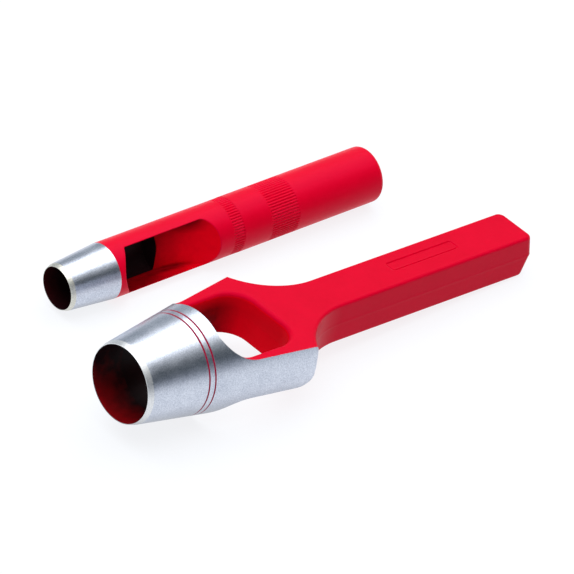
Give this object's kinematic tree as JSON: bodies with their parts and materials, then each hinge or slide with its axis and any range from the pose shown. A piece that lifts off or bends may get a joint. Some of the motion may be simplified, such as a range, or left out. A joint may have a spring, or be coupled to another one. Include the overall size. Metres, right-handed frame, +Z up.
{
  "type": "hollow punch",
  "caption": "Hollow punches for cutting round holes: an arch punch with a wide conical cutting cup on a forged flat shank, and a slim straight punch with a side slug window.",
  "frame": {"origin": "on the bench, under the middle of the box that holds both tools", "axes": "+X along the arch punch from its cutting mouth to its struck end, +Y from the arch punch to the straight punch, +Z up"},
  "size_m": [0.1676, 0.0872, 0.0344],
  "materials": {
    "ground_steel": "ground, fine circumferential grain",
    "red_lacquer": "thin glossy lacquer over a forged surface",
    "ring_lacquer": "lacquer left in a turned groove"
  },
  "bodies": {
    "arch_punch": {"arch_cutting_cup": "ground_steel", "arch_front_ring_mark": "ring_lacquer", "arch_rear_ring_mark": "ring_lacquer", "arch_far_arm": "red_lacquer", "arch_near_arm": "red_lacquer", "arch_bridge": "red_lacquer", "arch_shank": "red_lacquer", "arch_striking_end": "red_lacquer"},
    "straight_punch": {"straight_cutting_tip": "ground_steel", "straight_window_barrel": "red_lacquer", "straight_front_grip_band": "red_lacquer", "straight_mid_barrel": "red_lacquer", "straight_rear_grip_band": "red_lacquer", "straight_striking_end": "red_lacquer"}
  },
  "joints": [
    {"name": "straight_punch_lift", "type": "slide", "parent": "arch_punch", "child": "straight_punch", "axis": [0, 0, 1], "range_m": [0, 0.05]}
  ]
}
